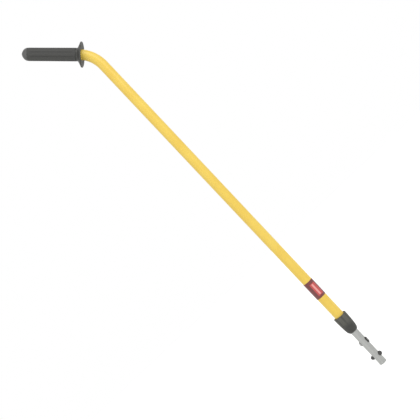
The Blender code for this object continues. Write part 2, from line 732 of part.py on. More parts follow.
def make_grip_core(axis):
    """The sleeve that turns on the tube, with the shoulder that the plug and the washer trap."""
    start = GRIP_BODY_START - CORE_SPIGOT
    spigot_radius = core_bore - SEAT_GAP
    outline = [
        (core_bore, grip_end),
        (core_outer, grip_end),
        (core_outer, start),
        (core_bore, start),
        (core_bore, core_shoulder_start),
        (BOSS_DIAMETER / 2 + RUNNING_GAP, core_shoulder_start),
        (BOSS_DIAMETER / 2 + RUNNING_GAP, core_shoulder_top),
        (core_bore, core_shoulder_top),
    ]
    turn("grip_core", outline, CHARCOAL_PLASTIC, axis, sides=TUBE_SIDES)

    # The cap is a hollow dome, with a spigot in the core's open end
    cap_start = grip_end + SEAT_GAP
    cap_end = grip_end + END_CAP_LENGTH
    cap_radius = GRIP_DIAMETER / 2 - GRIP_TAPER - SEAT_GAP
    spigot_start = grip_end - CAP_SPIGOT_LENGTH
    spigot_bore = spigot_radius - CAP_SPIGOT_WALL
    hollow_end = cap_end - CAP_WALL
    outline = [
        *dome(cap_radius, cap_start, cap_end - cap_start, CAP_DOME_STEPS, CAP_POINT),
        (spigot_radius, cap_start),
        (spigot_radius, spigot_start),
        (spigot_bore, spigot_start),
        (spigot_bore, cap_start),
        (CAP_HOLLOW_RADIUS, hollow_end),
        (0, hollow_end),
    ]
    turn("end_cap", outline, CAP_GREY, axis)


def make_hand_guard(axis):
    """The round guard: a disc, dished towards the grip, whose neck grips the core's end."""
    hub = GUARD_DISTANCE + GUARD_DISH
    near = hub - GUARD_THICKNESS / 2
    root_near = hub - GUARD_ROOT_THICKNESS / 2
    root_far = hub + GUARD_ROOT_THICKNESS / 2
    rim = GUARD_DIAMETER / 2
    edge = GUARD_EDGE
    bore = outer_radius + GUARD_BORE_GAP
    seat = core_outer + SEAT_GAP
    neck = seat + GUARD_NECK_WALL
    counterbore = GRIP_BODY_START - CORE_SPIGOT - SEAT_GAP
    neck_end = GRIP_BODY_START
    rounding = []
    for i in range(GUARD_EDGE_STEPS + 1):
        angle = pi * i / GUARD_EDGE_STEPS
        rounding.append((rim - edge * (1 - sin(angle)), GUARD_DISTANCE + edge * cos(angle)))
    outline = [
        (seat, neck_end),
        (neck, neck_end),
        (neck, root_far + edge),
        (neck + edge, root_far),
        *rounding,
        (neck + edge, root_near),
        (bore + edge / 2, near),
        (bore, near + edge / 2),
        (bore, counterbore),
        (seat, counterbore),
    ]
    turn("hand_guard", outline, BLACK_PLASTIC, axis, sides=TUBE_SIDES)


def make_grip():
    """Everything about the grip's axis, in a frame whose Z runs from the corner to the cap."""
    axis = add_axis("grip_axis", (0, 0, AXIS_CORNER_HEIGHT), BEND_ANGLE)
    make_grip_retention(axis)
    make_grip_core(axis)
    make_grip_sleeve(axis)
    make_hand_guard(axis)


clear_scene()
make_inner_section()
make_collar()
make_outer_section()
make_grip()
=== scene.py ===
"""Dresses the telescopic extension pole: its visible shapes, its finishes and its studio.

Metres, +Z up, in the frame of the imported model. The pole stands on its tip along +Z, bends in the
XZ plane and carries its grip towards -X. The camera looks along +Y.
"""

import logging
from collections.abc import Sequence
from dataclasses import dataclass, field
from enum import Enum
from math import ceil, cos, pi, radians, sin, sqrt, tan

import bmesh
import bpy
from mathutils import Matrix, Vector


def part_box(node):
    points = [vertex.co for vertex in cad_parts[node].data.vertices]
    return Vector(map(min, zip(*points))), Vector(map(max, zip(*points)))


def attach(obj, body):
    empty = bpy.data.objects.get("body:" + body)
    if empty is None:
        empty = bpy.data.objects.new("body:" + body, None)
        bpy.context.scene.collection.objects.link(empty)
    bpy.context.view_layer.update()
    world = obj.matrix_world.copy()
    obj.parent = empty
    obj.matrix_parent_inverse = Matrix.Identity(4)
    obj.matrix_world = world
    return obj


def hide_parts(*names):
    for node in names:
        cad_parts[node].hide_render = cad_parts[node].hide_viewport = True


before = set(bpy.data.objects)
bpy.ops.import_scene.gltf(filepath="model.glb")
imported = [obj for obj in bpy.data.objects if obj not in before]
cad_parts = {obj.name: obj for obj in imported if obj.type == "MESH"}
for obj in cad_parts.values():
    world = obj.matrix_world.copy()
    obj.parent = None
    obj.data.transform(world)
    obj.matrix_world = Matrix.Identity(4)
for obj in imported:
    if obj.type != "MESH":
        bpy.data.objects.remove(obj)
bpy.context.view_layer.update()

log = logging.getLogger("extension_pole")

Pair = tuple[float, float]
Triple = tuple[float, float, float]
Outline = list[Pair]
Ring = list[Vector]
Piece = bpy.types.Object
Tree = bpy.types.NodeTree
Socket = bpy.types.NodeSocket

MM = 0.001
# Faces that meet at a larger angle show an edge
SHARP_ANGLE = radians(38)
# The sides of a round piece, unless it gives its own
SIDES = 96
# The turn of one facet of a small rounding, and how far apart a long straight tube's rings are
ROUND_STEP, LONG_STEP = pi / 14, 0.03
# A step may be this much longer, so that a length of whole steps isn't split once more
STEP_SLACK = 0.01
# The most of a side that the rounding of one of its corners takes
ROUNDING_LIMIT = 0.48
# Where a cutter through a tube's wall starts and ends, as shares of the tube's radius
CUT_START, CUT_END = 0.4, 1.5
# A tube's round outside: how near its radius a point lies, and how squarely its face looks out
ROUND_TOLERANCE, OUTWARD_LIMIT = 0.2 * MM, 0.9


# Meshes


def span(start: float, end: float, step: float) -> list[float]:
    """Evenly spaced values from a start to an end, both among them, at most a step apart."""
    count = max(1, ceil(abs(end - start) / step - STEP_SLACK))
    return [start + (end - start) * i / count for i in range(count + 1)]


def smooth_share(value: float) -> float:
    """Ease a share so that it leaves 0 and reaches 1 without a kink."""
    share = min(1.0, max(0.0, value))
    return share * share * (3 - 2 * share)


def round_off(radius: float, rounding: float, from_end: float) -> float:
    """Draw a radius in by what the rounding of a piece's end takes away that far from the end."""
    cut = max(0.0, rounding - from_end)
    return radius - (rounding - sqrt(rounding**2 - cut**2))


def level_ring(radius: float, height: float, sides: int) -> Ring:
    """A level ring of points about Z, counted from +X towards +Y."""
    angles = [2 * pi * i / sides for i in range(sides)]
    return [Vector((radius * cos(a), radius * sin(a), height)) for a in angles]


def soften(corners: Sequence[Triple], closed: bool, steps: int = 5) -> Outline:
    """Round the corners of an outline.

    Args:
        corners: Radius, height and rounding of each corner.
        closed: Whether the outline closes on itself.
        steps: The number of segments in each rounding.

    Returns:
        The outline's points.
    """
    outline: Outline = []
    for i, (radius, height, rounding) in enumerate(corners):
        here = Vector((radius, height))
        at_end = not closed and i in (0, len(corners) - 1)
        if at_end or not rounding:
            outline.append((radius, height))
            continue
        before = Vector(corners[i - 1][:2]) - here
        after = Vector(corners[(i + 1) % len(corners)][:2]) - here
        reach = rounding / tan(before.angle(after) / 2)
        reach = min(reach, before.length * ROUNDING_LIMIT, after.length * ROUNDING_LIMIT)
        first = here + before.normalized() * reach
        last = here + after.normalized() * reach
        for u in span(0, 1, 1 / steps):
            point = first * (1 - u) ** 2 + here * 2 * u * (1 - u) + last * u**2
            outline.append((point.x, point.y))
    return outline


def dome(radius: float, base: float, rise: float, steps: int, point: float = 1.0) -> Outline:
    """A dome's outline from its top on the axis down. With a point above 1 it is more pointed."""
    angles = [pi / 2 * i / steps for i in range(steps, -1, -1)]
    return [(radius * cos(a) ** point if a < pi / 2 else 0.0, base + rise * sin(a)) for a in angles]


def new_object(name: str, shape: bmesh.types.BMesh, place: Matrix) -> Piece:
    """Turn a finished shape into an object and free it.

    Args:
        name: The object's name.
        shape: The shape, in its own frame.
        place: Where that frame stands. It goes into the mesh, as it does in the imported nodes.

    Returns:
        The linked object.
    """
    bmesh.ops.recalc_face_normals(shape, faces=shape.faces)
    mesh = bpy.data.meshes.new(name)
    shape.to_mesh(mesh)
    shape.free()
    mesh.transform(place)
    piece = bpy.data.objects.new(name, mesh)
    bpy.context.scene.collection.objects.link(piece)
    return piece


def loft(name: str, rings: Sequence[Ring], hollow: bool, place: Matrix = Matrix()) -> Piece:
    """Join rings of points into one closed surface.

    Args:
        name: The object's name.
        rings: Rings of equal length, in order.
        hollow: Whether the last ring joins the first; if not, a face closes each end.
        place: Where the object stands.

    Returns:
        The object.
    """
    shape = bmesh.new()
    loops = [[shape.verts.new(point) for point in ring] for ring in rings]
    following = loops[1:] + loops[:1] if hollow else loops[1:]
    for lower, upper in zip(loops, following):
        for i in range(len(lower)):
            j = (i + 1) % len(lower)
            shape.faces.new((lower[i], lower[j], upper[j], upper[i]))
    if not hollow:
        shape.faces.new(loops[0])
        shape.faces.new(loops[-1])
    return new_object(name, shape, place)


def lathe(name: str, outline: Outline, place: Matrix = Matrix(), sides: int = SIDES) -> Piece:
    """Revolve an outline of radius and height about Z.

    Args:
        name: The object's name.
        outline: Its points. One that starts and ends on the axis is solid, and any other closes
            on itself.
        place: Where the object stands.
        sides: The number of sides round the axis.

    Returns:
        The object.
    """
    if outline[0][0] > 0:
        return loft(name, [level_ring(r, z, sides) for r, z in outline], True, place)
    shape = bmesh.new()
    top = shape.verts.new((0, 0, outline[0][1]))
    bottom = shape.verts.new((0, 0, outline[-1][1]))
    loops = [[shape.verts.new(p) for p in level_ring(r, z, sides)] for r, z in outline[1:-1]]
    for i in range(sides):
        j = (i + 1) % sides
        shape.faces.new((top, loops[0][i], loops[0][j]))
        shape.faces.new((bottom, loops[-1][j], loops[-1][i]))
        for upper, lower in zip(loops, loops[1:]):
            shape.faces.new((upper[i], lower[i], lower[j], upper[j]))
    return new_object(name, shape, place)


def along(axis: Sequence[float], centre: Sequence[float]) -> Matrix:
    """A frame at a centre whose Z points along an axis."""
    return Matrix.Translation(centre) @ Vector(axis).to_track_quat("Z", "Y").to_matrix().to_4x4()


def bar(radius: float, start: float, end: float, place: Matrix, sides: int = 48) -> Piece:
    """A round bar along a frame's Z, turned by half a side to keep its corners off tubes' edges."""
    turned = place @ Matrix.Rotation(pi / sides, 4, "Z")
    return lathe("bar", [(0, end), (radius, end), (radius, start), (0, start)], turned, sides)


class Change(Enum):
    """What a second object does to a piece."""

    CUT = "DIFFERENCE"
    JOIN = "UNION"


def combine(piece: Piece, other: Piece, change: Change = Change.CUT) -> None:
    """Change a piece by a second object, and use the second one up.

    Args:
        piece: The piece that is changed.
        other: The object that goes.
        change: Whether it cuts the piece or is joined on.
    """
    boolean = piece.modifiers.new("combine", "BOOLEAN")
    boolean.operation = change.value
    boolean.solver = "EXACT"
    boolean.object = other
    bpy.context.view_layer.update()
    graph = bpy.context.evaluated_depsgraph_get()
    made = bpy.data.meshes.new_from_object(piece.evaluated_get(graph))
    piece.modifiers.clear()
    piece.data = made
    bpy.data.objects.remove(other, do_unlink=True)


@dataclass(frozen=True)
class Flutes:
    """Evenly spaced flutes round a piece, the first at +X.

    A power of 1 makes a flute as wide as the land beside it, and a higher one makes it narrower.
    Hands don't reach deeper into a flute than the rubbed and lit depth. The lands are painted
    paler for hand wear and as painted highlight, and painted shade is left deep in each flute.
    """

    count: int
    depth: float
    power: float
    rubbed_and_lit_depth: float
    sides_each: int

    def shell(self, name: str, levels: Sequence[tuple], inside: Outline, place: Matrix) -> Piece:
        """A fluted outside over a plain inside, noting how pale each point is painted: wear and
        highlight.

        Args:
            name: The object's name.
            levels: The outside's levels in order, each with its radius between the flutes, its
            height, how far the flutes have faded in there and how much paler its lands are
            painted, as hand wear and painted highlight.
            inside: The inside's outline, from the last level back to the first.
            place: Where the object stands.

        Returns:
            The object.
        """
        sides = self.count * self.sides_each
        angles = [2 * pi * i / sides for i in range(sides)]
        rings, rub_and_light = [], []
        for radius, height, share, rubbed_and_lit in levels:
            ring = []
            for angle in angles:
                dip = self.depth * share * max(0.0, cos(self.count * angle)) ** self.power
                reach = radius - dip
                ring.append(Vector((reach * cos(angle), reach * sin(angle), height)))
                # Lands get the whole paler coat and flutes less with depth: hand wear and painted
                # highlight on the lands, painted shade in the flutes
                rub_and_light.append(rubbed_and_lit * max(0.0, 1 - dip / self.rubbed_and_lit_depth))
            rings.append(ring)
        rings += [level_ring(radius, height, sides) for radius, height in inside]
        rub_and_light += [0.0] * sides * len(inside)
        piece = loft(name, rings, True, place)
        piece.data.attributes.new("rub_and_light", "FLOAT", "POINT").data.foreach_set("value", rub_and_light)
        return piece


def true_round(piece: Piece, radius: float) -> None:
    """Shade a drilled tube as truly round, so that its holes leave no streaks.

    Args:
        piece: A tube about Z that is already shaded smooth.
        radius: The radius of the surface that is corrected.
    """
    mesh = piece.data
    normals = [Vector(corner.vector) for corner in mesh.corner_normals]
    for polygon in mesh.polygons:
        for index in polygon.loop_indices:
            point = mesh.vertices[mesh.loops[index].vertex_index].co
            out = Vector((point.x, point.y, 0))
            near = abs(out.length - radius) < ROUND_TOLERANCE
            if near and polygon.normal.dot(out.normalized()) > OUTWARD_LIMIT:
                normals[index] = out.normalized()
    mesh.normals_split_custom_set(normals)


# Finishes

# The ends of a range and what they become, and the sockets of a mix of two colours
RANGE = ("From Min", "From Max", "To Min", "To Max")
MIX_LOWER, MIX_UPPER, MIX_RESULT = 6, 7, 2
# The noise behind every finish: how rough it is, how many finer layers grain and clouds have,
# and the part of its range that they use
NOISE_ROUGHNESS = 0.55
GRAIN_LAYERS, CLOUD_LAYERS = 2.0, 4.0
GRAIN_RANGE, CLOUD_RANGE = (0.3, 0.7), (0.35, 0.65)
BUMP_STRENGTH = 0.6
# The pointiness between which an edge goes from new to fully worn, and how much that shows
WEAR_RANGE, WEAR_SHARE = (0.52, 0.60), 0.6
# The sRGB curve: where its straight foot ends, the foot's slope, and the offset and power above
SRGB_KNEE, SRGB_SLOPE, SRGB_OFFSET, SRGB_POWER = 0.04045, 12.92, 0.055, 2.4
WHITE = (1.0, 1.0, 1.0, 1.0)


def linear(colour: str) -> tuple[float, float, float, float]:
    """An sRGB hex colour as linear light.

    Args:
        colour: Six hex digits.

    Returns:
        Red, green, blue and an alpha of 1.
    """
    light = []
    for value in (int(colour[i : i + 2], 16) / 255 for i in (0, 2, 4)):
        curve = ((value + SRGB_OFFSET) / (1 + SRGB_OFFSET)) ** SRGB_POWER
        light.append(value / SRGB_SLOPE if value <= SRGB_KNEE else curve)
    return (*light, 1.0)


def add_node(
    tree: Tree, kind: str, settings: dict | None = None, links: dict | None = None
) -> bpy.types.Node:
    """Add a node, set it up and link what feeds it.

    Args:
        tree: The node tree.
        kind: The node's type.
        settings: Values by the name of a property, or by the name or number of an input.
        links: The outputs that feed inputs, by the input's name or number.

    Returns:
        The node.
    """
    node = tree.nodes.new(kind)
    for key, value in (settings or {}).items():
        if isinstance(key, str) and key not in node.inputs and hasattr(node, key):
            setattr(node, key, value)
        else:
            node.inputs[key].default_value = value
    for key, output in (links or {}).items():
        tree.links.new(output, node.inputs[key])
    return node


@dataclass(frozen=True)
class Finish:
    """A real material and how its surface was made.

    Colour drifts between two shades in soft clouds, and a grain roughens and dimples the surface.
    The roughness has a middle and a spread, and the grain a size and a depth.
    """

    name: str
    slot: str
    shades: tuple[str, str]
    roughness: Pair
    grain_mm: Pair
    cloud_mm: float
    ior: float = 1.5
    metallic: float = 0.0
    worn: str | None = None
    rubbed_and_lit: str | None = None
    stretch: Triple = (1.0, 1.0, 1.0)
    sheen: float = 0.0

    def coats(self, tree: Tree, clouds: Socket) -> list[tuple[Socket, str]]:
        """The colours over the first shade: paler on worn outer edges, and on flute lands as wear
        and highlight.

        Args:
            tree: The node tree.
            clouds: The share of the second shade.

        Returns:
            The share of each colour and the colour, from the lowest up.
        """
        coats = [(clouds, self.shades[1])]
        # The lands' paler coat: hand wear and painted highlight, with painted shade left in the
        # flutes
        if self.rubbed_and_lit:
            rub_and_light = add_node(tree, "ShaderNodeAttribute", {"attribute_name": "rub_and_light"})
            coats.append((rub_and_light.outputs["Fac"], self.rubbed_and_lit))
        if self.worn:
            edge = add_node(tree, "ShaderNodeNewGeometry").outputs["Pointiness"]
            ends = dict(zip(RANGE, (*WEAR_RANGE, 0.0, WEAR_SHARE)))
            wear = add_node(tree, "ShaderNodeMapRange", ends, {"Value": edge})
            coats.append((wear.outputs[0], self.worn))
        return coats

    def material(self) -> bpy.types.Material:
        """The finish as a material, made once.

        Returns:
            The material.
        """
        made = bpy.data.materials.get(self.name)
        if made:
            return made
        made = bpy.data.materials.new(self.name)
        made.use_nodes = True
        tree = made.node_tree
        shader = tree.nodes["Principled BSDF"]
        shader.inputs["Metallic"].default_value = self.metallic
        if not self.metallic:
            shader.inputs["IOR"].default_value = self.ior
        shader.inputs["Sheen Weight"].default_value = self.sheen
        own = add_node(tree, "ShaderNodeTexCoord").outputs["Object"]
        place = add_node(tree, "ShaderNodeMapping", {"Scale": self.stretch}, {"Vector": own})
        (middle, spread), (size, depth) = self.roughness, self.grain_mm
        noises, used = [], []
        for feature, layers, ends in (
            (size, GRAIN_LAYERS, (*GRAIN_RANGE, middle - spread, middle + spread)),
            (self.cloud_mm, CLOUD_LAYERS, (*CLOUD_RANGE, 0.0, 1.0)),
        ):
            settings = {"Scale": 1 / (feature * MM), "Detail": layers, "Roughness": NOISE_ROUGHNESS}
            links = {"Vector": place.outputs["Vector"]}
            noises.append(add_node(tree, "ShaderNodeTexNoise", settings, links).outputs["Fac"])
            ranged = add_node(tree, "ShaderNodeMapRange", dict(zip(RANGE, ends)), {0: noises[-1]})
            used.append(ranged.outputs[0])
        rough, clouds = used
        settings = {"Strength": BUMP_STRENGTH, "Distance": depth * MM}
        bump = add_node(tree, "ShaderNodeBump", settings, {"Height": noises[0]})
        colour = None
        for share, coat in self.coats(tree, clouds):
            lower, upper = linear(self.shades[0]), linear(coat)
            settings = {"data_type": "RGBA", MIX_LOWER: lower, MIX_UPPER: upper}
            links = {0: share, MIX_LOWER: colour} if colour else {0: share}
            colour = add_node(tree, "ShaderNodeMix", settings, links).outputs[MIX_RESULT]
        tree.links.new(colour, shader.inputs["Base Color"])
        tree.links.new(rough, shader.inputs["Roughness"])
        tree.links.new(bump.outputs["Normal"], shader.inputs["Normal"])
        return made


@dataclass(frozen=True)
class PrintedArea:
    """A printed rectangle: the middle and half size of its turn, from -Y to +X, and its level."""

    colour: str
    turn: Pair
    level: Pair


@dataclass(frozen=True)
class PrintedFilm(Finish):
    """A vinyl film with a plain panel and a pale bar printed on a dark ground, unlettered."""

    areas: tuple[PrintedArea, ...] = (
        PrintedArea("C64D4D", turn=(radians(18), radians(34)), level=(0.2404, 0.0170)),
        PrintedArea("EFA09C", turn=(radians(12), radians(10)), level=(0.2404, 0.0150)),
    )
    edge_turn: float = radians(0.6)
    edge_level: float = 0.12 * MM

    def coats(self, tree: Tree, clouds: Socket) -> list[tuple[Socket, str]]:
        """The ground's second shade, and each printed area over it with slightly soft edges.

        Args:
            tree: The node tree.
            clouds: The share of the second shade.

        Returns:
            The share of each colour and the colour, from the lowest up.
        """
        own = add_node(tree, "ShaderNodeTexCoord").outputs["Object"]
        x, y, z = add_node(tree, "ShaderNodeSeparateXYZ", links={0: own}).outputs
        front = add_node(tree, "ShaderNodeMath", {"operation": "MULTIPLY", 1: -1.0}, {0: y})
        links = {0: x, 1: front.outputs[0]}
        turn = add_node(tree, "ShaderNodeMath", {"operation": "ARCTAN2"}, links).outputs[0]
        coats = [(clouds, self.shades[1])]
        for area in self.areas:
            masks = []
            for value, (middle, half), edge in (
                (turn, area.turn, self.edge_turn),
                (z, area.level, self.edge_level),
            ):
                settings = {"operation": "SUBTRACT", 1: middle}
                off = add_node(tree, "ShaderNodeMath", settings, {0: value}).outputs[0]
                size = add_node(tree, "ShaderNodeMath", {"operation": "ABSOLUTE"}, {0: off})
                ends = dict(zip(RANGE, (half - edge, half + edge, 1.0, 0.0)))
                mask = add_node(tree, "ShaderNodeMapRange", ends, {0: size.outputs[0]})
                masks.append(mask.outputs[0])
            links = dict(enumerate(masks))
            share = add_node(tree, "ShaderNodeMath", {"operation": "MULTIPLY"}, links)
            coats.append((share.outputs[0], area.colour))
        return coats


# Polyester powder, sprayed and baked: an even satin yellow with a faint orange peel of 1.6 mm
POWDER_COAT = Finish(
    "polyester_powder_coat_baked", "yellow_paint", ("F4D35C", "EFCA51"),
    roughness=(0.34, 0.05), grain_mm=(1.6, 0.02), cloud_mm=60, ior=1.52,
)
# Aluminium drawn through a die: a soft grey metal with fine bright lines along it. They are drawn
# at 0.4 mm, coarser than the real 0.05 mm, so that they show
DRAWN_ALUMINIUM = Finish(
    "aluminium_tube_drawn", "bare_aluminium", ("A9AAA8", "9C9D9B"),
    roughness=(0.36, 0.08), grain_mm=(0.4, 0.008), cloud_mm=9, metallic=1.0,
    stretch=(1.0, 1.0, 0.02),
)
# Steel, cold formed and zinc plated: a cool grey with a slightly cloudy plating
ZINC_STEEL = Finish(
    "steel_zinc_plated", "zinc_steel", ("A2A2A0", "919190"),
    roughness=(0.38, 0.08), grain_mm=(0.5, 0.01), cloud_mm=4, metallic=1.0,
)
# Polypropylene from a spark-eroded mould: a dull black whose outer edges are rubbed greyer, with
# lands between its flutes painted paler towards the rim, as hand wear and painted highlight, and
# painted shade in its flutes. Its grain is drawn at 0.6 mm, coarser than the real 0.15 mm, so that
# it shows
BLACK_POLYPROPYLENE = Finish(
    "polypropylene_moulded_grained", "collar_plastic", ("3A3A36", "343431"),
    roughness=(0.54, 0.08), grain_mm=(0.6, 0.03), cloud_mm=12, ior=1.49,
    worn="66665F", rubbed_and_lit="56564F",
)
# The same polypropylene on the guard: a little paler and smoother, and less rubbed
GUARD_POLYPROPYLENE = Finish(
    "polypropylene_guard_moulded", "guard_plastic", ("42423E", "3B3B38"),
    roughness=(0.50, 0.07), grain_mm=(0.6, 0.02), cloud_mm=15, ior=1.49, worn="5C5C56",
)
# Thermoplastic elastomer moulded over the grip: a dead matt charcoal, grained at 0.8 mm, paler on
# its outer edges, with its lands painted paler as hand wear and painted highlight, and painted
# shade in its flutes
SOFT_ELASTOMER = Finish(
    "elastomer_grip_overmoulded", "grip_rubber", ("3B3B39", "363634"),
    roughness=(0.72, 0.06), grain_mm=(0.8, 0.04), cloud_mm=18, worn="50504C", rubbed_and_lit="444442",
)
# Polypropylene in mid grey, moulded with a fine grain: paler than the sleeve that it closes
GREY_POLYPROPYLENE = Finish(
    "polypropylene_cap_moulded", "cap_plastic", ("5D5D5C", "555554"),
    roughness=(0.58, 0.06), grain_mm=(0.6, 0.02), cloud_mm=10, ior=1.49,
)
# Acetal, moulded smooth: a slippery black with a clean small highlight
BUTTON_ACETAL = Finish(
    "acetal_button_moulded", "button_plastic", ("424241", "3B3B3A"),
    roughness=(0.34, 0.04), grain_mm=(0.8, 0.006), cloud_mm=6, ior=1.48, worn="4C4C4A",
)
# The same acetal on the key
KEY_ACETAL = Finish(
    "acetal_key_moulded", "key_plastic", ("31312F", "2B2B2A"),
    roughness=(0.40, 0.05), grain_mm=(0.8, 0.01), cloud_mm=6, ior=1.48, worn="50504C",
)
# Natural nylon, moulded: a warm ivory with a waxy surface
NATURAL_NYLON = Finish(
    "nylon_natural_moulded", "pale_plastic", ("D8D5CB", "CFCBBF"),
    roughness=(0.45, 0.05), grain_mm=(0.8, 0.01), cloud_mm=8, ior=1.53,
)
# Nylon filled with glass fibre, moulded: a dark grey with a dry, faintly streaked surface
GLASS_NYLON = Finish(
    "nylon_glass_filled_moulded", "ferrule_plastic", ("565655", "4A4A4A"),
    roughness=(0.60, 0.08), grain_mm=(0.5, 0.02), cloud_mm=5, ior=1.53,
)
# Polyethylene, moulded: the tip's soft mid-grey plug, which scuffs pale on its edges
TIP_POLYETHYLENE = Finish(
    "polyethylene_plug_moulded", "tip_plug", ("A5A5A3", "9A9A98"),
    roughness=(0.58, 0.06), grain_mm=(0.7, 0.02), cloud_mm=6, ior=1.51, worn="BEBEBB",
)
# Polypropylene, moulded smooth: the black sleeve inside the grip
CORE_POLYPROPYLENE = Finish(
    "polypropylene_core_moulded", "core_plastic", ("353533", "2F2F2D"),
    roughness=(0.45, 0.05), grain_mm=(0.8, 0.01), cloud_mm=12, ior=1.49,
)
# Wool felt, pressed: a black fibrous ring without a highlight, with a soft nap
WOOL_FELT = Finish(
    "wool_felt_pressed", "wiper_felt", ("302F2E", "252423"),
    roughness=(0.95, 0.04), grain_mm=(0.35, 0.15), cloud_mm=2, sheen=0.4,
)
# Vinyl film, screen printed: a smooth red panel on a maroon ground under a clear gloss
VINYL_FILM = PrintedFilm(
    "vinyl_film_screen_printed", "label_film", ("7C3C3C", "6E3334"),
    roughness=(0.30, 0.03), grain_mm=(4.0, 0.01), cloud_mm=9, ior=1.53,
)


# Setting out


@dataclass(frozen=True)
class PoleLines:
    """The lines and clearances that every sub-assembly is set out from."""

    outer_radius: float = 0.0127
    outer_bore: float = 0.0115
    inner_radius: float = 0.009525
    inner_bore: float = 0.008325
    corner_height: float = 1.0139
    bend_angle: float = radians(46.4)
    bend_radius: float = 0.0825
    gap: float = 0.0003

    def grip_place(self) -> Matrix:
        """The frame whose Z runs from the corner of the two axes along the grip."""
        turned = Matrix.Rotation(-self.bend_angle, 4, "Y")
        return Matrix.Translation((0, 0, self.corner_height)) @ turned


class Side(Enum):
    """The two sides of the tip on which its buttons stand."""

    RIGHT = 1
    LEFT = -1


def set_piece(piece: Piece, finish: Finish, body: str, *nodes: str) -> None:
    """Shade a piece, give it its finish and hang it on a body in place of nodes.

    Args:
        piece: The piece, in place.
        finish: What it is made of.
        body: The body that it moves with.
        nodes: The nodes that it stands for.
    """
    mesh = piece.data
    mesh.materials.clear()
    mesh.materials.append(finish.material())
    mesh.shade_smooth()
    mesh.set_sharp_from_angle(angle=SHARP_ANGLE)
    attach(piece, body)
    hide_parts(*nodes)
    faces = len(mesh.polygons)
    log.info("%s: %d faces of %s, for %s", piece.name, faces, finish.name, ", ".join(nodes))


def dress_nodes(finish: Finish, *names: str) -> None:
    """Give nodes that keep their own shape a finish.

    Args:
        finish: What they are made of.
        names: The nodes' names.
    """
    for name in names:
        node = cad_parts[name]
        for slot in node.material_slots:
            slot.material = finish.material()
        log.info("%s: kept, %s", name, finish.name)


